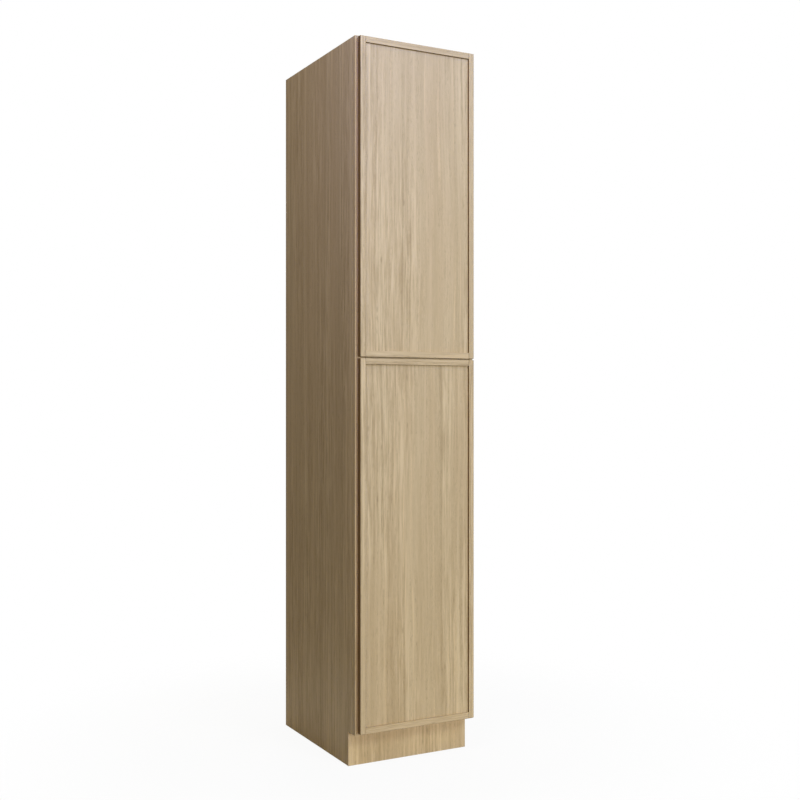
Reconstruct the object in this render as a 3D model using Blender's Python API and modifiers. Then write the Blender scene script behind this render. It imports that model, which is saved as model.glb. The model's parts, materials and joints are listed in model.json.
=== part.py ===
"""Tall pantry cabinet: a face-framed plywood box behind two stacked slim-shaker doors.

Axes: +X is the cabinet's right, +Y points at the wall and +Z is up. Units are metres.
The origin is on the floor, under the centre of the closed cabinet's bounding box.
"""

import math

import bmesh
import bpy
from mathutils import Matrix, Vector
from mathutils.geometry import interpolate_bezier

# Cabinet box
WIDTH = 0.4572
HEIGHT = 2.4384
CARCASS_DEPTH = 0.600           # front of the face frame to the back edge of the sides
BOARD = 0.019                   # sides, decks, shelves and rails
FIT = 0.0003                    # gap between two pieces that touch

# Face frame and toe space
FRAME_WIDTH = 0.0381
TOE_HEIGHT = 0.1143
TOE_SETBACK = 0.0508            # front of the face frame to the front of the toe skin
TOE_SKIN = 0.006

# Back and hanging rails
BACK_PANEL = 0.006
HANGING_RAIL = 0.0889

# Doors
DOOR_THICK = 0.019
DOOR_GAP = 0.0035               # air between a door's back and the face frame
SIDE_REVEAL = 0.009
TOP_REVEAL = 0.005
LOWER_DOOR_BOTTOM = 0.1226
DOOR_SPLIT = 1.3695             # middle of the gap between the two doors
SPLIT_GAP = 0.0048
RAIL_WIDTH = 0.020              # door stiles and rails
RECESS = 0.006                  # panel face behind the stile faces
GROOVE_DEPTH = 0.008
GROOVE_FRONT = 0.0095           # front wall of the groove, behind the door's front face
GROOVE_WIDTH = 0.006
TENON_SETBACK = 0.0005          # end of a tenon inside the door's top or bottom edge

# Adjustable shelves and the holes that their pins sit in
FIRST_HOLE = 0.096              # lowest hole above the deck below it
HOLE_PITCH = 0.032
HOLE_INSET = 0.037              # front hole row behind the front edge of the sides
BACK_HOLE_INSET = 0.060         # back hole row in front of the back panel
HOLE_RADIUS = 0.0028
HOLE_DEPTH = 0.010
SHELF_SIDE_GAP = 0.0015
SHELF_FRONT_GAP = 0.012         # shelf edge behind the face frame
SHELF_BACK_GAP = 0.003
LOWER_SHELF_HOLES = (9, 22)
UPPER_SHELF_HOLES = (7, 18)

# Shelf pin: a round peg under an L-shaped ledge
PEG_RADIUS = 0.0025
PEG_LENGTH = 0.009
PIN_WIDTH = 0.012
PIN_THICK = 0.002
LEDGE_REACH = 0.014
LEDGE_TOP = 0.004               # ledge above the peg's axis
PIN_DROP = 0.007                # back plate below the peg's axis

# Concealed hinge: a 35 mm cup in the door and a strap on the frame's inner edge
PIVOT_INSET = 0.0068            # hinge axis in from the door's edge
PIVOT_DEPTH = 0.0075            # hinge axis in front of the door's back face
CUP_RADIUS = 0.0175
CUP_WALL = 0.0008
CUP_DEPTH = 0.0118
CUP_EDGE = 0.003                # wood between the cup's bore and the door's edge
RIM_RADIUS = 0.0195
FLANGE_THICK = 0.0012
WING_HALF_LENGTH = 0.031
WING_HALF_WIDTH = 0.0065
PIN_RADIUS = 0.0011
PIN_HALF_LENGTH = 0.008
LUG_START = 0.0065              # lugs that hold the pin, from the cup's middle height
LUG_MOUTH = 0.0025              # lugs' outer face below the door's back face
LUG_REACH = 0.0032              # lugs past the hinge axis, towards the cup's centre
KNUCKLE_RADIUS = 0.0021
KNUCKLE_BORE = 0.0014
KNUCKLE_HALF_WIDTH = 0.005
STRAP_HALF_WIDTH = 0.0048
STRAP_THICK = 0.0016
PLATE_THICK = 0.002
PLATE_HALF_LENGTH = 0.021
PLATE_START = 0.0042            # strap plate's front edge behind the door's back face
PLATE_END = 0.0215
SCREW_HOLE_RADIUS = 0.0022
SCREW_HOLE_HEIGHT = 0.014
HINGE_END_INSET = 0.090         # outermost hinges in from a door's ends
ROUND_SIDES = 24

# Bumpers between the doors and the frame
BUMPER_RADIUS = 0.004
BUMPER_TIP_RADIUS = 0.003
BUMPER_INSET = 0.025

# Planes worked out from the above
TOTAL_DEPTH = CARCASS_DEPTH + DOOR_GAP + DOOR_THICK
DOOR_FRONT = -TOTAL_DEPTH / 2
DOOR_BACK = DOOR_FRONT + DOOR_THICK
FRAME_FRONT = DOOR_BACK + DOOR_GAP
FRAME_BACK = FRAME_FRONT + BOARD
CARCASS_BACK = TOTAL_DEPTH / 2
BACK_PANEL_REAR = CARCASS_BACK - BOARD - FIT
BACK_PANEL_FRONT = BACK_PANEL_REAR - BACK_PANEL
SIDE_INNER = WIDTH / 2 - BOARD
OPENING_HALF = WIDTH / 2 - FRAME_WIDTH
TOE_SKIN_FRONT = FRAME_FRONT + TOE_SETBACK
TOE_SKIN_BACK = TOE_SKIN_FRONT + TOE_SKIN
FLOOR_TOP = TOE_HEIGHT + FRAME_WIDTH
FLOOR_BOTTOM = FLOOR_TOP - BOARD
DECK_TOP = DOOR_SPLIT + FRAME_WIDTH / 2
DOOR_HALF = WIDTH / 2 - SIDE_REVEAL
PIVOT_X = DOOR_HALF - PIVOT_INSET
PIVOT_Y = DOOR_BACK - PIVOT_DEPTH
FRONT_HOLES = FRAME_BACK + HOLE_INSET
BACK_HOLES = BACK_PANEL_FRONT - BACK_HOLE_INSET
MARGIN = 0.010                  # how far a cutter runs past what it cuts


def clear_scene():
    for old in list(bpy.data.objects):
        bpy.data.objects.remove(old, do_unlink=True)


def new_collection(name):
    collection = bpy.data.collections.new(name)
    bpy.context.scene.collection.children.link(collection)
    return collection


def make_material(name, colour, roughness, metallic=0.0):
    material = bpy.data.materials.new(name)
    material.use_nodes = True
    shader = material.node_tree.nodes["Principled BSDF"]
    shader.inputs["Base Color"].default_value = (*colour, 1.0)
    shader.inputs["Roughness"].default_value = roughness
    shader.inputs["Metallic"].default_value = metallic
    material.diffuse_color = (*colour, 1.0)
    return material


clear_scene()
PARTS = new_collection("pantry_cabinet")
CUTTERS = new_collection("cutters")
OAK = make_material("white_oak", (0.53, 0.43, 0.30), 0.55)
PLYWOOD = make_material("interior_plywood", (0.66, 0.52, 0.36), 0.50)
BASE_PLYWOOD = make_material("base_plywood", (0.55, 0.42, 0.28), 0.70)
NICKEL = make_material("nickel_plated_steel", (0.60, 0.59, 0.57), 0.30, 1.0)
BUMPER = make_material("bumper_plastic", (0.80, 0.80, 0.78), 0.35)


def place(name, mesh, location, material):
    """Put a mesh into the scene as a part, or as a cutter when it has no material."""
    piece = bpy.data.objects.new(name, mesh)
    piece.location = location
    if material:
        PARTS.objects.link(piece)
        if not mesh.materials:
            mesh.materials.append(material)
    else:
        CUTTERS.objects.link(piece)
        piece.hide_render = True
        piece.display_type = "WIRE"
    return piece


def mesh_from(name, shape):
    mesh = bpy.data.meshes.new(name)
    shape.to_mesh(mesh)
    shape.free()
    return mesh


def box(name, low, high, material=None):
    """A block between two corners, with its origin at its centre."""
    low, high = Vector(low), Vector(high)
    shape = bmesh.new()
    bmesh.ops.create_cube(shape, size=1.0)
    bmesh.ops.scale(shape, vec=high - low, verts=shape.verts)
    return place(name, mesh_from(name, shape), (low + high) / 2, material)


def rods(name, centres, axis, radius, length, sides=ROUND_SIDES, tip_radius=None, material=None):
    """One or more round bars along an axis, in one mesh whose origin is at the first centre."""
    turn = Vector((0, 0, 1)).rotation_difference(Vector(axis)).to_matrix().to_4x4()
    origin = Vector(centres[0])
    shape = bmesh.new()
    for centre in centres:
        bmesh.ops.create_cone(
            shape, cap_ends=True, segments=sides, radius1=radius,
            radius2=radius if tip_radius is None else tip_radius, depth=length,
            matrix=Matrix.Translation(Vector(centre) - origin) @ turn)
    return place(name, mesh_from(name, shape), origin, material)


def combine(target, other, operation):
    modifier = target.modifiers.new(operation.lower(), "BOOLEAN")
    modifier.operation = operation
    modifier.solver = "EXACT"
    modifier.object = other


def finished_mesh(piece, helpers, name):
    """The piece's mesh with its modifiers applied; the piece and its helpers are removed."""
    bpy.context.view_layer.update()
    evaluated = piece.evaluated_get(bpy.context.evaluated_depsgraph_get())
    mesh = bpy.data.meshes.new_from_object(evaluated)
    mesh.name = name
    mesh.materials.clear()
    for used in (piece, *helpers):
        bpy.data.objects.remove(used, do_unlink=True)
    return mesh


def attach(piece, parent):
    """Hang a piece on an empty without moving it in the world."""
    piece.location = Vector(piece.location) - parent.location
    piece.parent = parent


def side_panel(name, side, hole_heights):
    """side is -1 for the left panel and +1 for the right one."""
    outer, inner = side * WIDTH / 2, side * SIDE_INNER
    low_x, high_x = min(outer, inner), max(outer, inner)
    panel = box(name, (low_x, FRAME_BACK + FIT, 0), (high_x, CARCASS_BACK, HEIGHT), OAK)
    notch = box(name + "_toe_notch", (low_x - MARGIN, FRAME_BACK - MARGIN, -MARGIN),
                (high_x + MARGIN, TOE_SKIN_BACK + FIT, TOE_HEIGHT))
    combine(panel, notch, "DIFFERENCE")
    centres = [(inner, y, z) for z in hole_heights for y in (FRONT_HOLES, BACK_HOLES)]
    holes = rods(name + "_pin_holes", centres, (1, 0, 0), HOLE_RADIUS, 2 * HOLE_DEPTH, 12)
    combine(panel, holes, "DIFFERENCE")


def crosswise(name, half_width, front, back, bottom, top, material):
    """A board that spans the cabinet from side to side."""
    return box(name, (-half_width, front, bottom), (half_width, back, top), material)


def make_carcass():
    between_sides = SIDE_INNER - FIT
    deck_front, deck_back = FRAME_BACK + FIT, BACK_PANEL_FRONT - FIT
    crosswise("bottom_panel", between_sides, deck_front, deck_back, FLOOR_BOTTOM, FLOOR_TOP, PLYWOOD)
    crosswise("fixed_shelf", between_sides, deck_front, deck_back, DECK_TOP - BOARD, DECK_TOP, PLYWOOD)
    crosswise("top_panel", between_sides, deck_front, deck_back, HEIGHT - BOARD, HEIGHT, PLYWOOD)
    crosswise("back_panel", between_sides, BACK_PANEL_FRONT, BACK_PANEL_REAR, FLOOR_BOTTOM, HEIGHT,
              PLYWOOD)
    rail_middles = {
        "bottom": FLOOR_BOTTOM + HANGING_RAIL / 2,
        "middle": DECK_TOP - BOARD / 2,
        "top": HEIGHT - HANGING_RAIL / 2,
    }
    for place_name, middle in rail_middles.items():
        crosswise(f"hanging_rail_{place_name}", between_sides, CARCASS_BACK - BOARD, CARCASS_BACK,
                  middle - HANGING_RAIL / 2, middle + HANGING_RAIL / 2, BASE_PLYWOOD)
    crosswise("toe_kick_board", between_sides, TOE_SKIN_BACK + FIT, TOE_SKIN_BACK + FIT + BOARD,
              0, FLOOR_BOTTOM - FIT, BASE_PLYWOOD)
    crosswise("toe_kick_skin", WIDTH / 2, TOE_SKIN_FRONT, TOE_SKIN_BACK, 0, TOE_HEIGHT - FIT, OAK)


def make_face_frame():
    for name, side in (("left", -1), ("right", 1)):
        edges = sorted((side * WIDTH / 2, side * OPENING_HALF))
        box(f"frame_stile_{name}", (edges[0], FRAME_FRONT, TOE_HEIGHT),
              (edges[1], FRAME_BACK, HEIGHT), OAK)
    rail_bottoms = {
        "bottom": TOE_HEIGHT,
        "middle": DOOR_SPLIT - FRAME_WIDTH / 2,
        "top": HEIGHT - FRAME_WIDTH,
    }
    for name, bottom in rail_bottoms.items():
        crosswise(f"frame_rail_{name}", OPENING_HALF - FIT, FRAME_FRONT, FRAME_BACK,
                  bottom, bottom + FRAME_WIDTH, OAK)


def shelf_pin_mesh():
    """A left-hand pin: origin on the panel face at the hole's centre, peg towards -X."""
    half = PIN_WIDTH / 2
    plate = box("pin_plate", (FIT, -half, -PIN_DROP), (FIT + PIN_THICK, half, LEDGE_TOP))
    ledge = box("pin_ledge", (FIT + PIN_THICK / 2, -half + FIT, LEDGE_TOP - PIN_THICK),
                (LEDGE_REACH, half - FIT, LEDGE_TOP - FIT))
    peg_end = FIT + PIN_THICK / 2
    peg = rods("pin_peg", [((peg_end - PEG_LENGTH) / 2, 0, 0)], (1, 0, 0), PEG_RADIUS,
               PEG_LENGTH + peg_end, 12)
    combine(plate, ledge, "UNION")
    combine(plate, peg, "UNION")
    mesh = finished_mesh(plate, (ledge, peg), "shelf_pin")
    mesh.transform(Matrix.Translation((FIT + PIN_THICK / 2, 0, (LEDGE_TOP - PIN_DROP) / 2)))
    return mesh


def make_shelves(pin_mesh, hole_heights):
    for number, height in enumerate(hole_heights, start=1):
        bottom = height + LEDGE_TOP + FIT
        crosswise(f"adjustable_shelf_{number}", SIDE_INNER - SHELF_SIDE_GAP,
                  FRAME_BACK + SHELF_FRONT_GAP, BACK_PANEL_FRONT - SHELF_BACK_GAP,
                  bottom, bottom + BOARD, PLYWOOD)
        for row, y in (("front", FRONT_HOLES), ("back", BACK_HOLES)):
            for hand, side in (("left", -1), ("right", 1)):
                pin = place(f"shelf_pin_{number}_{row}_{hand}", pin_mesh,
                            (side * SIDE_INNER, y, height), NICKEL)
                pin.rotation_euler.z = 0 if side < 0 else math.pi


def hinge_arm_mesh():
    """The strap and its screw plate, with the origin on the hinge axis.

    The goose neck runs from the knuckle deep into the cup, then out of the cup's mouth and
    round the frame's corner, so that the cup's rim can swing past it.
    """
    def at(inset, depth):
        """inset is measured in from the door's edge and depth into the door's back."""
        return Vector((PIVOT_INSET - inset, PIVOT_DEPTH - depth, 0))

    plate_middle = FRAME_WIDTH - SIDE_REVEAL + FIT + PLATE_THICK / 2
    start = at(PIVOT_INSET + 0.0017, PIVOT_DEPTH + 0.0003)
    turn = at(0.0205, 0.0088)
    mouth = at(plate_middle, -0.0030)
    inner_neck = interpolate_bezier(start, at(0.0120, 0.0088), at(0.0165, 0.0098), turn, 7)
    outer_neck = interpolate_bezier(turn, at(0.0265, 0.0072), at(plate_middle, 0.0030), mouth, 8)
    path = inner_neck + outer_neck[1:] + [at(plate_middle, -PLATE_START - 0.002)]

    shape = bmesh.new()
    columns = [[shape.verts.new((p.x, p.y, z)) for z in (-STRAP_HALF_WIDTH, STRAP_HALF_WIDTH)]
               for p in path]
    for near, far in zip(columns, columns[1:]):
        shape.faces.new((near[0], far[0], far[1], near[1]))
    strap = place("strap", mesh_from("strap", shape), (0, 0, 0), None)
    thicken = strap.modifiers.new("thickness", "SOLIDIFY")
    thicken.thickness = STRAP_THICK
    thicken.offset = 0
    thicken.use_even_offset = True

    low = at(plate_middle + PLATE_THICK / 2, -PLATE_START)
    high = at(plate_middle - PLATE_THICK / 2, -PLATE_END)
    plate = box("plate", (low.x, low.y, -PLATE_HALF_LENGTH), (high.x, high.y, PLATE_HALF_LENGTH))
    knuckle = rods("knuckle", [(0, 0, 0)], (0, 0, 1), KNUCKLE_RADIUS, 2 * KNUCKLE_HALF_WIDTH)
    bore = rods("knuckle_bore", [(0, 0, 0)], (0, 0, 1), KNUCKLE_BORE, 4 * KNUCKLE_HALF_WIDTH)
    plate_centre = at(plate_middle, -(PLATE_START + PLATE_END) / 2)
    screws = rods("screw_holes", [(plate_centre.x, plate_centre.y, side * SCREW_HOLE_HEIGHT)
                                  for side in (-1, 1)],
                  (1, 0, 0), SCREW_HOLE_RADIUS, MARGIN, 12)
    combine(strap, plate, "UNION")
    combine(strap, knuckle, "UNION")
    combine(strap, bore, "DIFFERENCE")
    combine(strap, screws, "DIFFERENCE")
    return finished_mesh(strap, (plate, knuckle, bore, screws), "hinge_arm")


def hinge_cup_mesh():
    """The pressed cup with its flange, lugs and pin, with the origin on the hinge axis."""
    centre_x = PIVOT_INSET - CUP_EDGE - CUP_RADIUS
    back = PIVOT_DEPTH                           # the door's back face, seen from the axis
    outside = back + FIT + FLANGE_THICK
    floor = back - CUP_DEPTH
    cup = rods("cup_shell", [(centre_x, (outside + floor) / 2, 0)], (0, 1, 0), CUP_RADIUS,
               outside - floor)
    rim = rods("cup_rim", [(centre_x, back + FIT + FLANGE_THICK / 2, 0)], (0, 1, 0), RIM_RADIUS,
               FLANGE_THICK)
    wings = box("cup_wings", (centre_x - WING_HALF_WIDTH, back + FIT, -WING_HALF_LENGTH),
                (centre_x + WING_HALF_WIDTH, outside, WING_HALF_LENGTH))
    cavity = rods("cup_cavity", [(centre_x, (floor + CUP_WALL + outside + MARGIN) / 2, 0)],
                  (0, 1, 0), CUP_RADIUS - CUP_WALL, outside + MARGIN - floor - CUP_WALL)
    lugs = []
    for side in (-1, 1):
        ends = sorted((side * LUG_START, side * RIM_RADIUS))
        lugs.append(box(f"lug_{len(lugs)}", (-LUG_REACH, floor - MARGIN, ends[0]),
                        (MARGIN, back - LUG_MOUTH, ends[1])))
    pin = rods("hinge_pin", [(0, 0, 0)], (0, 0, 1), PIN_RADIUS, 2 * PIN_HALF_LENGTH, 12)
    for lug in lugs:
        combine(cavity, lug, "DIFFERENCE")
    combine(cup, rim, "UNION")
    combine(cup, wings, "UNION")
    combine(cup, cavity, "DIFFERENCE")
    combine(cup, pin, "UNION")
    shift = cup.location.copy()
    mesh = finished_mesh(cup, (rim, wings, cavity, *lugs, pin), "hinge_cup")
    mesh.transform(Matrix.Translation(shift))
    return mesh


def door_frame_piece(name, low, high, tenon, groove):
    """A stile or rail; tenon and groove are (low, high) corner pairs, and tenon may be None."""
    piece = box(name, low, high, OAK)
    helpers = []
    if tenon:
        helpers.append(box(name + "_tenon", *tenon))
        combine(piece, helpers[-1], "UNION")
    helpers.append(box(name + "_groove", *groove))
    combine(piece, helpers[-1], "DIFFERENCE")
    return piece, helpers


def make_door(name, bottom, top, hinge_heights, arm_mesh, cup_mesh):
    hinge_axis = bpy.data.objects.new(f"{name}_hinge_axis", None)
    hinge_axis.location = (PIVOT_X, PIVOT_Y, bottom)
    PARTS.objects.link(hinge_axis)
    moving = []

    inner_half = DOOR_HALF - RAIL_WIDTH
    tongue_half = inner_half + GROOVE_DEPTH - FIT
    groove_front = DOOR_FRONT + GROOVE_FRONT
    groove_back = groove_front + GROOVE_WIDTH
    tongue_front, tongue_back = groove_front + FIT, groove_back - FIT

    for hand, side in (("left", -1), ("right", 1)):
        edges = sorted((side * DOOR_HALF, side * inner_half))
        cuts = sorted((side * (inner_half + GROOVE_DEPTH), side * (inner_half - MARGIN)))
        stile, helpers = door_frame_piece(
            f"{name}_stile_{hand}", (edges[0], DOOR_FRONT, bottom), (edges[1], DOOR_BACK, top), None,
            ((cuts[0], groove_front, bottom - MARGIN), (cuts[1], groove_back, top + MARGIN)))
        moving += [stile, *helpers]

    for level, outer, inward in (("top", top, -1), ("bottom", bottom, 1)):
        inner = outer + inward * RAIL_WIDTH
        groove_floor = inner - inward * GROOVE_DEPTH
        z_body = sorted((outer, inner))
        z_tenon = sorted((outer + inward * TENON_SETBACK, groove_floor))
        z_groove = sorted((groove_floor, inner + inward * MARGIN))
        rail, helpers = door_frame_piece(
            f"{name}_rail_{level}",
            (FIT - inner_half, DOOR_FRONT, z_body[0]), (inner_half - FIT, DOOR_BACK, z_body[1]),
            ((-tongue_half, tongue_front, z_tenon[0]), (tongue_half, tongue_back, z_tenon[1])),
            ((-WIDTH, groove_front, z_groove[0]), (WIDTH, groove_back, z_groove[1])))
        moving += [rail, *helpers]

    panel = box(f"{name}_panel",
                  (FIT - inner_half, DOOR_FRONT + RECESS, bottom + RAIL_WIDTH + FIT),
                  (inner_half - FIT, DOOR_BACK, top - RAIL_WIDTH - FIT), OAK)
    tongue_margin = RAIL_WIDTH - GROOVE_DEPTH + FIT
    tongue = box(f"{name}_panel_tongue", (-tongue_half, tongue_front, bottom + tongue_margin),
                 (tongue_half, tongue_back, top - tongue_margin))
    combine(panel, tongue, "UNION")

    cup_x = DOOR_HALF - CUP_EDGE - CUP_RADIUS
    bore_depth = CUP_DEPTH + FIT
    bores = rods(f"{name}_cup_bores",
                 [(cup_x, DOOR_BACK + (MARGIN - bore_depth) / 2, z) for z in hinge_heights.values()],
                 (0, 1, 0), CUP_RADIUS + FIT, bore_depth + MARGIN)
    hinge_stile = bpy.data.objects[f"{name}_stile_right"]
    for bored in (hinge_stile, panel):
        combine(bored, bores, "DIFFERENCE")
    moving += [panel, tongue, bores]

    for level, height in hinge_heights.items():
        place(f"{name}_hinge_arm_{level}", arm_mesh, (PIVOT_X, PIVOT_Y, height), NICKEL)
        moving.append(place(f"{name}_hinge_cup_{level}", cup_mesh, (PIVOT_X, PIVOT_Y, height), NICKEL))

    for level, height in (("top", top - BUMPER_INSET), ("bottom", bottom + BUMPER_INSET)):
        centre = (RAIL_WIDTH / 2 - DOOR_HALF, DOOR_BACK + DOOR_GAP / 2, height)
        moving.append(rods(f"{name}_bumper_{level}", [centre], (0, 1, 0), BUMPER_RADIUS,
                           DOOR_GAP - 2 * FIT, 16, BUMPER_TIP_RADIUS, BUMPER))

    for piece in moving:
        attach(piece, hinge_axis)


def main():
    hole_heights = [deck + FIRST_HOLE + index * HOLE_PITCH
                    for deck, indices in ((FLOOR_TOP, LOWER_SHELF_HOLES),
                                          (DECK_TOP, UPPER_SHELF_HOLES))
                    for index in indices]
    side_panel("side_panel_left", -1, hole_heights)
    side_panel("side_panel_right", 1, hole_heights)
    make_carcass()
    make_face_frame()
    make_shelves(shelf_pin_mesh(), hole_heights)

    arm_mesh, cup_mesh = hinge_arm_mesh(), hinge_cup_mesh()
    lower_top = DOOR_SPLIT - SPLIT_GAP / 2
    upper_bottom = DOOR_SPLIT + SPLIT_GAP / 2
    upper_top = HEIGHT - TOP_REVEAL
    lower_hinges = {
        "bottom": LOWER_DOOR_BOTTOM + HINGE_END_INSET,
        "middle": (LOWER_DOOR_BOTTOM + lower_top) / 2,
        "top": lower_top - HINGE_END_INSET,
    }
    upper_hinges = {
        "bottom": upper_bottom + HINGE_END_INSET,
        "top": upper_top - HINGE_END_INSET,
    }
    make_door("lower_door", LOWER_DOOR_BOTTOM, lower_top, lower_hinges, arm_mesh, cup_mesh)
    make_door("upper_door", upper_bottom, upper_top, upper_hinges, arm_mesh, cup_mesh)


main()
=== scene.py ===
"""Pantry cabinet: rift-cut white oak outside, birch plywood inside, nickel hinges and pins."""

import json
import math
import random

import bmesh
import bpy
from mathutils import Matrix, Vector


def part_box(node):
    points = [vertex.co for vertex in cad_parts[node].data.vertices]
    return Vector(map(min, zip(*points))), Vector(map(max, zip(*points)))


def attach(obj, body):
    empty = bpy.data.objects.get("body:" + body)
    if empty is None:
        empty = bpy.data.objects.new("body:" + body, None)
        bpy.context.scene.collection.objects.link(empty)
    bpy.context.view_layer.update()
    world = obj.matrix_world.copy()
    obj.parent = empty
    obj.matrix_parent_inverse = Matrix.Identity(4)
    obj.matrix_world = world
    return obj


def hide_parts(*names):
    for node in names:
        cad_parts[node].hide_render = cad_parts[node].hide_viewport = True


X, Y, Z = 0, 1, 2

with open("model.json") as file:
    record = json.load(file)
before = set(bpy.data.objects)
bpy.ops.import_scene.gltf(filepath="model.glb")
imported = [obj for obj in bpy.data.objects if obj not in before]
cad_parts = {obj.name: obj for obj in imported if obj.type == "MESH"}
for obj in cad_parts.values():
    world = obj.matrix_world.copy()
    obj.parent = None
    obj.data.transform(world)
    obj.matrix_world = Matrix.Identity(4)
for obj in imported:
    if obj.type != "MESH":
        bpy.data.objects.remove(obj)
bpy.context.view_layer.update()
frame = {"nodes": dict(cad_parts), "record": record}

BODY_OF = {node: body for body, nodes in frame["record"]["behaviour"]["bodies"].items()
           for node in nodes}

# Camera and light, in metres and degrees
CAMERA_AT = (-1.866, -3.669, 1.2284)
CAMERA_TURN = -28.12
CAMERA_LENS = 50.96
SENSOR_WIDTH = 36.0
FLOOR_FADE = (0.6, 1.6)         # the floor is whole inside the first radius, gone at the second
FLOOR_BOUNCE = 0.60             # what the floor throws back on the cabinet
FLOOR_GLOW = 0.93
AMBIENT = (0.12, 0.111, 0.10)

# name, place, target, size, watts, colour: a high and a low key from the front right, a low front
# light, cool light from high in front, warm light from the left, and fills for the rest
LIGHTS = (
    ("key_high", (1.3, -6.2, 4.6), (0, 0, 1.2), (1.8, 1.8), 118, (0.86, 1.0, 1.0)),
    ("key_low", (1.3, -6.2, 1.2), (0, 0, 1.2), (1.8, 1.8), 112, (0.86, 1.0, 1.0)),
    ("low_front", (-0.5, -6.4, 1.2), (0, 0, 1.0), (2.0, 1.6), 62, (1.0, 0.72, 0.47)),
    ("daylight_right", (1.4, -2.7, 3.7), (0, -0.3, 1.9), (2.0, 1.0), 21, (0.12, 0.36, 1.0)),
    ("daylight_left", (-1.3, -1.5, 3.1), (0, -0.2, 2.3), (1.2, 1.2), 28, (0.20, 0.28, 1.0)),
    ("warm_left", (-2.4, -1.8, 4.4), (0, -0.1, 1.8), (2.0, 2.0), 53, (1.0, 0.88, 0.04)),
    ("back_fill", (2.2, 6.0, 2.4), (0, 0, 1.2), (3.0, 3.0), 160, (1.0, 0.97, 0.90)),
    ("right_fill", (6.0, 1.5, 2.2), (0, 0, 1.2), (3.0, 3.0), 90, (1.0, 0.95, 0.86)),
    ("ceiling", (0, 0.15, 5.0), (0, 0.15, 0), (0.3, 0.3), 25, (1.0, 1.0, 1.0)),
)

# Oak, as linear colours
OAK = Vector((0.577, 0.429, 0.254))
OAK_DARK = tuple(c * k for c, k in zip(OAK, (0.790, 0.752, 0.690)))
OAK_LIGHT = tuple(c * k for c, k in zip(OAK, (1.215, 1.240, 1.290)))
OAK_WARM = (0.600, 0.400, 0.220)
OAK_RAY = tuple(1.27 * c for c in OAK)
OAK_PORE = (0.230, 0.150, 0.075)
TOE_PAINTED_LIGHT = (1.13, 1.12, 1.11)   # painted light: brightens the toe skin to make up for the lights, which leave it too dark
DOOR_EDGE_PAINTED_SHADE = (0.30, 0.22, 0.12)  # painted shade: the doors' edges that face sideways or down are drawn much darker than their faces

# Boards whose grain is cut from another place, so that each is as even as the real one
OTHER_CUT = {
    "upper_door_panel": "e", "upper_door_rail_top": "b", "lower_door_panel": "f",
    "lower_door_rail_bottom": "b", "lower_door_stile_right": "b",
}

# Woodwork
EASE = 0.0008                   # radius of the eased edges of solid boards and side panels
PLY_EASE = 0.0005               # and of the other plywood
LONG_EDGE = 0.012               # shorter edges, such as a bore's facets, stay as they are
SAME_POINT = 5e-6
DRILL_SIDES = 20
HOLE_RADIUS = 0.0025
HOLE_DEPTH = 0.010
HOLE_PITCH = 0.032
HOLE_MARGIN = 0.090             # no shelf holes closer to a deck than this
PEG_ABOVE_MIDDLE = 0.0015       # a shelf pin's peg above the middle of the pin
SHELVES = range(1, 5)
PLY = 0.0027                    # thickness of one layer of plywood

# Angles between two faces, in degrees
FLAT = 0.5                      # with less they are one face
SMOOTH = 40.0                   # with less they are shaded as one surface
SHARP = 50.0                    # with more their edge is eased

# How much of a face's normal lies along an axis
SQUARE_ON = 0.97                # with more it is a flat face, with less an eased edge
MOSTLY = 0.5
LEANING = 0.2                   # with more it faces that way at least a little

# Hardware
NICKEL_ROUGHNESS = 0.28
METAL_EASE = 0.00025
METAL_EDGE = 0.001              # shorter edges stay as they are
TURNED_SIDES = 32
CORNER_ROUND = 0.0045
PLATE_SCREW = 0.014             # screws above and below the middle of a hinge arm's plate
WING_SCREW = 0.0245             # and of a cup's wings
SCREW_RADIUS = 0.0032
SCREW_RIM = 0.0003
SCREW_TOP = 0.0014
CROSS_LENGTH = 0.0034           # the recess for the screwdriver
CROSS_WIDTH = 0.0008
CROSS_DEPTH = 0.0009
PLATE_TURNS = (25.0, 70.0)      # how far each screw's cross is turned
WING_TURNS = (40.0, 10.0)


# ---------------------------------------------------------------- shaders

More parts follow.
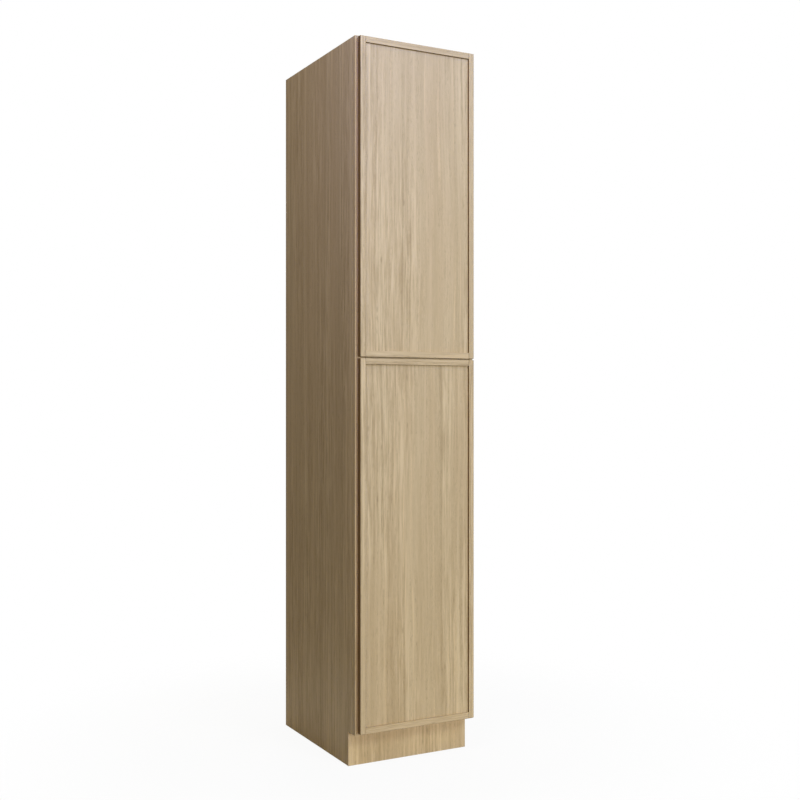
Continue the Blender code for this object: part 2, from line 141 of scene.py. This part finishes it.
class Shader:
    """A short way to write one material's node tree."""

    def __init__(self, name, **surface):
        self.material = bpy.data.materials.new(name)
        self.material.use_nodes = True
        self.tree = self.material.node_tree
        self.surface = self.tree.nodes["Principled BSDF"]
        for key, value in surface.items():
            self.surface.inputs[key.replace("_", " ")].default_value = value

    def node(self, kind, inputs=(), **settings):
        made = self.tree.nodes.new(kind)
        for key, value in settings.items():
            setattr(made, key, value)
        for key, value in dict(inputs).items():
            if isinstance(value, bpy.types.NodeSocket):
                self.tree.links.new(value, made.inputs[key])
            else:
                made.inputs[key].default_value = value
        return made

    def attribute(self, name):
        return self.node("ShaderNodeAttribute", attribute_name=name)

    def stretched(self, vector, scale):
        return self.node("ShaderNodeVectorMath", {0: vector, 1: scale},
                         operation="MULTIPLY").outputs[0]

    def shifted(self, vector, offset):
        return self.node("ShaderNodeVectorMath", {0: vector, 1: offset},
                         operation="ADD").outputs[0]

    def noise(self, vector, scale, detail=2.0, roughness=0.5, output=0):
        return self.node("ShaderNodeTexNoise",
                         {"Vector": self.stretched(vector, scale), "Scale": 1.0,
                          "Detail": detail, "Roughness": roughness}).outputs[output]

    def math(self, operation, a, b):
        return self.node("ShaderNodeMath", {0: a, 1: b}, operation=operation).outputs[0]

    def steps(self, value, low, high, to_low=0.0, to_high=1.0):
        return self.node("ShaderNodeMapRange",
                         {"Value": value, "From Min": low, "From Max": high,
                          "To Min": to_low, "To Max": to_high},
                         interpolation_type="SMOOTHSTEP").outputs[0]

    def total(self, *weighted):
        """The sum of (value, weight) pairs, each value taken from its middle of 0.5.

        A plain number with a weight of 1 moves the sum's own middle to that number.
        """
        result = 0.5
        for value, weight in weighted:
            centred = self.math("MULTIPLY", self.math("SUBTRACT", value, 0.5), weight)
            result = self.math("ADD", centred, result)
        return result

    def mix(self, factor, a, b, blend="MIX"):
        a, b = (c if isinstance(c, bpy.types.NodeSocket) else (*c, 1.0) for c in (a, b))
        return self.node("ShaderNodeMix", {0: factor, 6: a, 7: b}, data_type="RGBA",
                         blend_type=blend).outputs[2]

    def colour(self, socket):
        self.tree.links.new(socket, self.surface.inputs["Base Color"])

    def rough(self, socket):
        self.tree.links.new(socket, self.surface.inputs["Roughness"])

    def bump(self, height, distance, strength):
        made = self.node("ShaderNodeBump", {"Height": height, "Distance": distance,
                                            "Strength": strength})
        self.tree.links.new(made.outputs[0], self.surface.inputs["Normal"])


def oak_material(name, tint):
    """Rift-cut white oak under matt lacquer. The grain attribute runs along the board in Z."""
    s = Shader(name, Specular_IOR_Level=0.35)
    grain = s.attribute("grain").outputs["Vector"]
    sway = s.shifted(s.noise(grain, (7.0, 7.0, 1.6), 2.0, output=1), (-0.5, -0.5, -0.5))
    grain = s.node("ShaderNodeVectorMath", {0: s.stretched(sway, (0.022, 0.022, 0.0)), 1: grain},
                   operation="ADD").outputs[0]

    bands = s.noise(grain, (24.0, 24.0, 0.6), 1.0)
    lines = s.noise(grain, (135.0, 135.0, 0.6), 1.0)
    streaks = s.noise(grain, (120.0, 120.0, 6.0), 2.0, 0.5)
    threads = s.noise(grain, (330.0, 330.0, 15.0), 2.0, 0.5)
    fibres = s.noise(grain, (1100.0, 1100.0, 40.0), 2.0, 0.6)
    busy = s.steps(s.noise(grain, (11.0, 11.0, 0.7), 1.0), 0.36, 0.60, 0.35, 1.45)
    tone = s.total((bands, 0.60), (lines, s.math("MULTIPLY", busy, 0.64)),
                   (streaks, s.math("MULTIPLY", busy, 0.88)),
                   (threads, s.math("MULTIPLY", busy, 0.70)), (fibres, 0.40))
    base = s.mix(s.steps(tone, 0.0, 1.0), OAK_DARK, OAK_LIGHT)
    rays = s.noise(s.shifted(grain, (5.0, 3.0, 1.0)), (75.0, 75.0, 0.9), 1.0)
    base = s.mix(s.steps(rays, 0.62, 0.74, 0.0, 0.75), base, OAK_RAY)
    warmth = s.noise(grain, (15.0, 15.0, 0.7), 2.0)
    base = s.mix(s.steps(warmth, 0.35, 0.65, 0.0, 0.12), base, OAK_WARM)

    pore_noise = s.noise(grain, (1400.0, 1400.0, 55.0), 1.0, 0.5)
    pores = s.math("MULTIPLY", s.steps(pore_noise, 0.58, 0.68), s.steps(lines, 0.66, 0.34))
    base = s.mix(s.math("MULTIPLY", pores, 0.50), base, OAK_PORE)

    cells = s.node("ShaderNodeTexVoronoi",
                   {"Vector": s.stretched(grain, (62.0, 62.0, 17.0)), "Scale": 1.0})
    near = s.steps(cells.outputs["Distance"], 0.05, 0.28, 1.0, 0.0)
    pick = s.node("ShaderNodeSeparateColor", {0: cells.outputs["Color"]}).outputs[0]
    chosen = s.math("GREATER_THAN", s.math("MULTIPLY", pick, busy), 1.16)
    flecks = s.math("MULTIPLY", s.math("MULTIPLY", near, chosen), 0.36)
    base = s.mix(flecks, base, OAK_PORE)

    s.colour(s.mix(1.0, base, tint, "MULTIPLY"))
    s.rough(s.steps(fibres, 0.2, 0.8, 0.50, 0.40))
    s.bump(s.total((fibres, 0.5), (threads, 0.3), (pores, -0.8)), 0.0002, 0.35)
    return s.material


def plywood_face_material(name, dark, light, pore_depth, roughness):
    """Rotary-cut birch: broad, soft figure and very fine pores."""
    s = Shader(name, Specular_IOR_Level=0.4)
    grain = s.attribute("grain").outputs["Vector"]
    figure = s.noise(grain, (9.0, 9.0, 1.4), 3.0, 0.5)
    rings = s.math("PINGPONG", s.math("MULTIPLY", figure, 15.0), 1.0)
    streaks = s.noise(grain, (120.0, 120.0, 2.2), 3.0, 0.6)
    fibres = s.noise(grain, (1000.0, 1000.0, 16.0), 2.0, 0.6)
    tone = s.total((figure, 1.0), (rings, 0.30), (streaks, 0.55), (fibres, 0.35))
    base = s.mix(s.steps(tone, 0.1, 0.9), dark, light)
    pores = s.steps(s.noise(grain, (1500.0, 1500.0, 70.0), 1.0), 0.64, 0.76)
    base = s.mix(s.math("MULTIPLY", pores, pore_depth), base, tuple(0.45 * c for c in dark))
    s.colour(base)
    s.rough(s.steps(fibres, 0.2, 0.8, roughness + 0.05, roughness - 0.05))
    s.bump(s.total((fibres, 0.6), (pores, -0.5)), 0.0002, 0.3)
    return s.material


def plywood_edge_material():
    """The cut edge of plywood: thin layers, every other one showing end grain."""
    s = Shader("plywood_edge", Specular_IOR_Level=0.25)
    grain = s.attribute("grain").outputs["Vector"]
    depth = s.attribute("layer").outputs["Fac"]
    wobble = s.noise(grain, (60.0, 60.0, 60.0), 2.0)
    plies = s.math("ADD", s.math("MULTIPLY", depth, 1 / PLY), s.math("MULTIPLY", wobble, 0.12))
    layers = s.steps(s.math("PINGPONG", plies, 0.5), 0.20, 0.30)
    fibres = s.noise(grain, (700.0, 700.0, 700.0), 3.0, 0.7)
    light = s.mix(s.steps(fibres, 0.3, 0.7), (0.50, 0.37, 0.22), (0.66, 0.52, 0.35))
    dark = s.mix(s.steps(fibres, 0.3, 0.7), (0.26, 0.165, 0.085), (0.40, 0.275, 0.155))
    s.colour(s.mix(layers, dark, light))
    s.rough(s.steps(fibres, 0.2, 0.8, 0.82, 0.70))
    s.bump(s.total((fibres, 1.0), (layers, 0.3)), 0.0003, 0.5)
    return s.material


def nickel_material():
    s = Shader("nickel_plate", Metallic=1.0)
    where = s.node("ShaderNodeTexCoord").outputs["Object"]
    brushed = s.noise(where, (400.0, 400.0, 4000.0), 3.0, 0.6)
    smudges = s.noise(where, (90.0, 90.0, 90.0), 3.0, 0.6)
    s.colour(s.mix(smudges, (0.56, 0.545, 0.51), (0.70, 0.685, 0.65)))
    s.rough(s.total((brushed, 0.10), (smudges, 0.22), (NICKEL_ROUGHNESS, 1.0)))
    s.bump(brushed, 0.00005, 0.25)
    return s.material


def bumper_material():
    s = Shader("bumper_plastic", Transmission_Weight=0.45, IOR=1.46)
    where = s.node("ShaderNodeTexCoord").outputs["Object"]
    haze = s.noise(where, (500.0, 500.0, 500.0), 3.0, 0.6)
    s.colour(s.mix(haze, (0.80, 0.80, 0.77), (0.90, 0.90, 0.88)))
    s.rough(s.steps(haze, 0.2, 0.8, 0.28, 0.40))
    s.bump(haze, 0.00005, 0.2)
    return s.material


OAK_WOOD = oak_material("white_oak", (1.0, 1.0, 1.0))
# painted light: a brightened copy of the oak for the toe skin
OAK_TOE_PAINTED_LIGHT = oak_material("white_oak_toe_skin_painted_light", TOE_PAINTED_LIGHT)
# painted shade: a darker copy of the oak for the doors' edges that face sideways or down
OAK_PAINTED_SHADE = oak_material("white_oak_door_edge_painted_shade", DOOR_EDGE_PAINTED_SHADE)
BIRCH = plywood_face_material("birch_face", (0.53, 0.40, 0.255), (0.72, 0.585, 0.42), 0.25, 0.42)
CORE = plywood_face_material("raw_plywood", (0.40, 0.285, 0.165), (0.62, 0.47, 0.30), 0.45, 0.75)
PLY_EDGE = plywood_edge_material()
NICKEL = nickel_material()
BUMPER = bumper_material()


# ---------------------------------------------------------------- meshes

def add(name, shape):
    """A bmesh as an object at the origin, in the row frame."""
    mesh = bpy.data.meshes.new(name)
    shape.to_mesh(mesh)
    shape.free()
    piece = bpy.data.objects.new(name, mesh)
    bpy.context.scene.collection.objects.link(piece)
    return piece


def join_frame(piece, node):
    """The piece stands for a CAD node: it rides on its body, and the node is hidden."""
    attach(piece, BODY_OF[node])
    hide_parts(node)


def cad_shape(node):
    """A node's surface with its flat faces whole again."""
    shape = bmesh.new()
    shape.from_mesh(frame["nodes"][node].data)
    bmesh.ops.remove_doubles(shape, verts=shape.verts, dist=SAME_POINT)
    bmesh.ops.dissolve_limit(shape, angle_limit=math.radians(FLAT), verts=shape.verts,
                             edges=shape.edges)
    return shape


def smooth_faces(piece):
    piece.data.shade_smooth()
    piece.data.set_sharp_from_angle(angle=math.radians(SMOOTH))
    weighted = piece.modifiers.new("face_normals", "WEIGHTED_NORMAL")
    weighted.keep_sharp = True


def ease_edges(shape, radius=EASE, shortest=LONG_EDGE, segments=3):
    sharp = [e for e in shape.edges if e.is_manifold and e.calc_length() > shortest
             and e.calc_face_angle(0.0) > math.radians(SHARP)]
    bmesh.ops.bevel(shape, geom=sharp, offset=radius, segments=segments, profile=0.5,
                    affect="EDGES", clamp_overlap=True)


def turned(profile):
    """A closed shape spun about Z from (radius, height) pairs that start and end on the axis."""
    shape = bmesh.new()
    points = [shape.verts.new((radius, 0, height)) for radius, height in profile]
    line = [shape.edges.new(pair) for pair in zip(points, points[1:])]
    bmesh.ops.spin(shape, geom=points + line, cent=(0, 0, 0), axis=(0, 0, 1),
                   angle=2 * math.pi, steps=TURNED_SIDES)
    bmesh.ops.remove_doubles(shape, verts=shape.verts, dist=SAME_POINT)
    bmesh.ops.recalc_face_normals(shape, faces=shape.faces)
    return shape


def boolean(piece, operation, other):
    """Apply a Boolean and remove the other object."""
    cut = piece.modifiers.new("cut", "BOOLEAN")
    cut.operation, cut.solver, cut.object = operation, "EXACT", other
    bpy.context.view_layer.update()
    evaluated = piece.evaluated_get(bpy.context.evaluated_depsgraph_get())
    result = bpy.data.meshes.new_from_object(evaluated)
    piece.modifiers.clear()
    piece.data = result
    bpy.data.objects.remove(other)


def run_grain(piece, along, across, seed):
    """Grain coordinates: the board's length in Z, its thickness in Y, each board cut elsewhere."""
    draw = random.Random(seed + OTHER_CUT.get(seed, ""))
    offset = Vector(draw.uniform(-2, 2) for _ in range(3))
    breadth = 3 - along - across
    mesh = piece.data
    corners = [v.co for v in mesh.vertices]
    middle = (min(c[across] for c in corners) + max(c[across] for c in corners)) / 2
    grain = mesh.attributes.new("grain", "FLOAT_VECTOR", "POINT")
    grain.data.foreach_set("vector", [x for c in corners for x in
                                      (Vector((c[breadth], c[across], c[along])) + offset)])
    layer = mesh.attributes.new("layer", "FLOAT", "POINT")
    layer.data.foreach_set("value", [c[across] - middle for c in corners])


def paint(piece, *materials, rule=None):
    """rule(normal, centre) gives the index of a face's material, where there are several."""
    for material in materials:
        piece.data.materials.append(material)
    for face in piece.data.polygons:
        face.material_index = rule(face.normal, face.center) if rule else 0


def solid_board(node, along, across, face=OAK_WOOD, edge=None):
    """A board of solid oak, or one veneered all round.

    edge is for its edges, apart from those that face up and the ends of rails, which are joints.
    On the doors it is painted shade: their edges that face sideways or down are drawn darker.
    """
    shape = cad_shape(node)
    ease_edges(shape)
    piece = add(node + "_oak", shape)
    run_grain(piece, along, across, node)

    def rule(normal, centre):
        rail_end = along == X and abs(normal.x) > LEANING
        faces_up = normal.z > LEANING
        # edges that face up stay light; the rest take the edge material, which on the doors is
        # painted shade
        return 0 if abs(normal[across]) > SQUARE_ON or faces_up or rail_end else 1

    paint(piece, face, edge or face, rule=rule)
    smooth_faces(piece)
    join_frame(piece, node)


def plywood_board(node, along, across, face, band_front=False):
    """A plywood board: faces across its thickness, layered edges, and maybe a banded front."""
    shape = cad_shape(node)
    ease_edges(shape, radius=PLY_EASE, segments=2)
    piece = add(node + "_plywood", shape)
    run_grain(piece, along, across, node)

    def rule(normal, centre):
        banded = band_front and normal.y < -MOSTLY
        return 0 if abs(normal[across]) > MOSTLY or banded else 1

    paint(piece, face, PLY_EDGE, rule=rule)
    smooth_faces(piece)
    join_frame(piece, node)


def hole_levels():
    """Heights of the shelf holes: one grid in each bay, through the CAD's own pins."""
    levels = []
    for below, above, shelf in (("bottom_panel", "fixed_shelf", 1),
                                ("fixed_shelf", "top_panel", 3)):
        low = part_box(below)[1].z + HOLE_MARGIN
        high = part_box(above)[0].z - HOLE_MARGIN
        pin_low, pin_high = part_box(f"shelf_pin_{shelf}_front_left")
        through = (pin_low.z + pin_high.z) / 2 + PEG_ABOVE_MIDDLE
        first = math.ceil((low - through) / HOLE_PITCH)
        last = math.floor((high - through) / HOLE_PITCH)
        levels += [through + k * HOLE_PITCH for k in range(first, last + 1)]
    return levels


def side_panel(node, side):
    """Veneered plywood: oak outside, birch inside, with two rows of shelf holes.

    side is -1 for the left panel and 1 for the right.
    """
    shape = cad_shape(node)
    ease_edges(shape)
    piece = add(node + "_plywood", shape)

    low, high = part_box(node)
    inner = low.x if side > 0 else high.x
    taken = [sum(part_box(f"shelf_pin_{n}_{row}_left"), Vector()) / 2
             for n in SHELVES for row in ("front", "back")]
    drill = bmesh.new()
    turn = Matrix.Rotation(math.radians(90), 4, "Y")
    for y in sorted({round(c.y, 4) for c in taken}):
        for z in hole_levels():
            if all(abs(c.z - z) > HOLE_PITCH / 2 for c in taken):
                bmesh.ops.create_cone(drill, cap_ends=True, segments=DRILL_SIDES,
                                      radius1=HOLE_RADIUS, radius2=HOLE_RADIUS,
                                      depth=2 * HOLE_DEPTH,
                                      matrix=Matrix.Translation((inner, y, z)) @ turn)
    cutter = add(node + "_drill", drill)
    boolean(piece, "DIFFERENCE", cutter)

    run_grain(piece, Z, X, node)

    def rule(normal, centre):
        if normal.x * side > MOSTLY:
            return 0
        if normal.x * side < -MOSTLY and abs(centre.x - inner) < HOLE_DEPTH / 2:
            return 1
        return 2

    paint(piece, OAK_WOOD, BIRCH, PLY_EDGE, rule=rule)
    smooth_faces(piece)
    join_frame(piece, node)


def end_corners(shape, node, axis):
    """The edges along axis that stand at a node's lowest and highest ends."""
    low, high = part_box(node)
    return [e for e in shape.edges
            if abs((e.verts[1].co - e.verts[0].co).normalized()[axis]) > SQUARE_ON
            and (min(v.co.z for v in e.verts) - low.z < SAME_POINT
                 or high.z - max(v.co.z for v in e.verts) < SAME_POINT)]


def end_points(node):
    """A node's corners at its lowest end."""
    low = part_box(node)[0]
    return [v.co for v in frame["nodes"][node].data.vertices if abs(v.co.z - low.z) < SAME_POINT]


def metal_copy(node, rounded_along=None):
    """A CAD node in nickel with softened edges, and its ends' corners rounded along an axis."""
    shape = cad_shape(node)
    if rounded_along is not None:
        bmesh.ops.bevel(shape, geom=end_corners(shape, node, rounded_along),
                        offset=CORNER_ROUND, segments=6, profile=0.5, affect="EDGES")
    ease_edges(shape, radius=METAL_EASE, shortest=METAL_EDGE, segments=2)
    piece = add(node + "_metal", shape)
    paint(piece, NICKEL)
    smooth_faces(piece)
    join_frame(piece, node)


def hinge_arm(node):
    """The strap on the frame, its plate's corners rounded, held by two screws."""
    metal_copy(node, rounded_along=X)
    low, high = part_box(node)
    middle = (low.z + high.z) / 2
    plate = end_points(node)
    face_x = min(c.x for c in plate)
    y = (min(c.y for c in plate) + max(c.y for c in plate)) / 2
    screw_pair(node, [(face_x, y, middle + side * PLATE_SCREW) for side in (-1, 1)],
               Matrix.Rotation(math.radians(-90), 4, "Y"), PLATE_TURNS)


def hinge_cup(node):
    """The pressed cup, its wings' ends rounded and screwed to the door's back."""
    metal_copy(node, rounded_along=Y)
    low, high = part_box(node)
    middle = (low.z + high.z) / 2
    wing = end_points(node)
    x = (min(c.x for c in wing) + max(c.x for c in wing)) / 2
    screw_pair(node, [(x, high.y, middle + side * WING_SCREW) for side in (-1, 1)],
               Matrix.Rotation(math.radians(-90), 4, "X"), WING_TURNS)


def screw_head():
    """A domed screw head with a cross recess, standing on Z = 0."""
    dome = [(SCREW_RADIUS * math.cos(a), SCREW_RIM + (SCREW_TOP - SCREW_RIM) * math.sin(a))
            for a in (math.radians(step * 15) for step in range(6))]
    head = add("screw_head", turned([(0, 0), (SCREW_RADIUS, 0), *dome, (0, SCREW_TOP)]))
    raised = Matrix.Translation((0, 0, SCREW_TOP - CROSS_DEPTH + 1))
    for size in ((CROSS_LENGTH, CROSS_WIDTH, 2), (CROSS_WIDTH, CROSS_LENGTH, 2)):
        bar = bmesh.new()
        bmesh.ops.create_cube(bar, size=1, matrix=raised @ Matrix.Diagonal((*size, 1)))
        boolean(head, "DIFFERENCE", add("slot", bar))
    mesh = head.data
    bpy.data.objects.remove(head)
    return mesh


SCREW_HEAD = screw_head()


def screw_pair(node, places, facing, turns):
    """Two screws that ride with a hinge piece, each cross at its own angle."""
    shape = bmesh.new()
    for place, angle in zip(places, turns):
        one = SCREW_HEAD.copy()
        turn = Matrix.Rotation(math.radians(angle), 4, "Z")
        one.transform(Matrix.Translation(place) @ facing @ turn)
        shape.from_mesh(one)
        bpy.data.meshes.remove(one)
    piece = add(node + "_screws", shape)
    paint(piece, NICKEL)
    smooth_faces(piece)
    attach(piece, BODY_OF[node])


def bumper(node):
    """A clear dome stuck to the back of the door."""
    low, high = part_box(node)
    height, radius = high.y - low.y, (high.x - low.x) / 2
    dome = [(radius * math.cos(a) ** 0.6, height * math.sin(a))
            for a in (math.radians(step * 10) for step in range(1, 9))]
    shape = turned([(0, 0), (radius * 0.97, 0), (radius, height * 0.06), *dome, (0, height)])
    centre = (low + high) / 2
    shape.transform(Matrix.Translation((centre.x, low.y, centre.z))
                    @ Matrix.Rotation(math.radians(-90), 4, "X"))
    piece = add(node + "_dome", shape)
    paint(piece, BUMPER)
    smooth_faces(piece)
    join_frame(piece, node)


def make_cabinet():
    side_panel("side_panel_left", -1)
    side_panel("side_panel_right", 1)
    for hand in ("left", "right"):
        solid_board(f"frame_stile_{hand}", Z, Y)
    for level in ("bottom", "middle", "top"):
        solid_board(f"frame_rail_{level}", X, Y)
        plywood_board(f"hanging_rail_{level}", X, Y, CORE)
    solid_board("toe_kick_skin", Z, Y, OAK_TOE_PAINTED_LIGHT)
    plywood_board("toe_kick_board", X, Y, CORE)
    plywood_board("top_panel", Y, Z, BIRCH)
    plywood_board("bottom_panel", Y, Z, BIRCH)
    plywood_board("fixed_shelf", Y, Z, BIRCH, band_front=True)
    plywood_board("back_panel", Z, Y, BIRCH)
    for number in SHELVES:
        plywood_board(f"adjustable_shelf_{number}", Y, Z, BIRCH, band_front=True)
    for door in ("upper_door", "lower_door"):
        for hand in ("left", "right"):
            # the doors' edges take the painted-shade oak, darker where they face sideways or down
            solid_board(f"{door}_stile_{hand}", Z, Y, edge=OAK_PAINTED_SHADE)
        for level in ("top", "bottom"):
            solid_board(f"{door}_rail_{level}", X, Y, edge=OAK_PAINTED_SHADE)
        solid_board(f"{door}_panel", Z, Y)
    for node in frame["nodes"]:
        if node.startswith("shelf_pin"):
            metal_copy(node)
        elif "hinge_arm" in node:
            hinge_arm(node)
        elif "hinge_cup" in node:
            hinge_cup(node)
        elif "bumper" in node:
            bumper(node)


# ---------------------------------------------------------------- stage

def make_floor():
    """A pale floor round the cabinet, with a faint contact shadow, that thins out into white."""
    shape = bmesh.new()
    bmesh.ops.create_circle(shape, cap_ends=True, segments=96, radius=FLOOR_FADE[1])
    floor = add("floor", shape)
    s = Shader("pale_floor", Roughness=0.9, Specular_IOR_Level=0.0)
    where = s.node("ShaderNodeTexCoord").outputs["Object"]
    distance = s.node("ShaderNodeVectorMath", {0: where}, operation="LENGTH").outputs["Value"]
    grey = s.noise(where, (3.0, 3.0, 3.0), 3.0)
    seen = s.node("ShaderNodeLightPath").outputs["Is Camera Ray"]
    pale = s.mix(grey, (0.90, 0.90, 0.90), (0.93, 0.93, 0.93))
    s.colour(s.mix(seen, (FLOOR_BOUNCE,) * 3, pale))
    glow = s.node("ShaderNodeEmission", {"Strength": 1.0})
    solid = s.node("ShaderNodeMixShader", {0: s.math("MULTIPLY", seen, FLOOR_GLOW)})
    clear = s.node("ShaderNodeBsdfTransparent")
    whole = s.node("ShaderNodeMixShader", {0: s.steps(distance, *FLOOR_FADE)})
    for upper, lower, mixed in ((s.surface, glow, solid), (solid, clear, whole)):
        s.tree.links.new(upper.outputs[0], mixed.inputs[1])
        s.tree.links.new(lower.outputs[0], mixed.inputs[2])
    s.tree.links.new(whole.outputs[0], s.tree.nodes["Material Output"].inputs["Surface"])
    floor.data.materials.append(s.material)


def make_world():
    """White behind the cabinet, and a dim studio for its light."""
    world = bpy.data.worlds.new("studio")
    bpy.context.scene.world = world
    world.use_nodes = True
    tree = world.node_tree
    tree.nodes.clear()
    backgrounds = []
    for colour in (AMBIENT, (1.0, 1.0, 1.0)):
        background = tree.nodes.new("ShaderNodeBackground")
        background.inputs[0].default_value = (*colour, 1.0)
        backgrounds.append(background)
    path = tree.nodes.new("ShaderNodeLightPath")
    pick = tree.nodes.new("ShaderNodeMixShader")
    out = tree.nodes.new("ShaderNodeOutputWorld")
    tree.links.new(path.outputs["Is Camera Ray"], pick.inputs[0])
    for place, background in enumerate(backgrounds, 1):
        tree.links.new(background.outputs[0], pick.inputs[place])
    tree.links.new(pick.outputs[0], out.inputs[0])


def area_light(name, at, target, size, power, colour):
    data = bpy.data.lights.new(name, "AREA")
    data.shape = "RECTANGLE"
    data.size, data.size_y = size
    data.energy = power
    data.color = colour
    light = bpy.data.objects.new(name, data)
    light.location = at
    light.rotation_euler = (Vector(target) - Vector(at)).to_track_quat("-Z", "Y").to_euler()
    bpy.context.scene.collection.objects.link(light)


def make_studio():
    lens = bpy.data.cameras.new("camera")
    lens.lens = CAMERA_LENS
    lens.sensor_width = SENSOR_WIDTH
    camera = bpy.data.objects.new("camera", lens)
    camera.location = CAMERA_AT
    camera.rotation_euler = (math.radians(90), 0, math.radians(CAMERA_TURN))
    bpy.context.scene.collection.objects.link(camera)
    bpy.context.scene.camera = camera
    bpy.context.scene.view_settings.view_transform = "Standard"

    make_floor()
    make_world()
    for light in LIGHTS:
        area_light(*light)


make_studio()
make_cabinet()

bpy.context.view_layer.update()
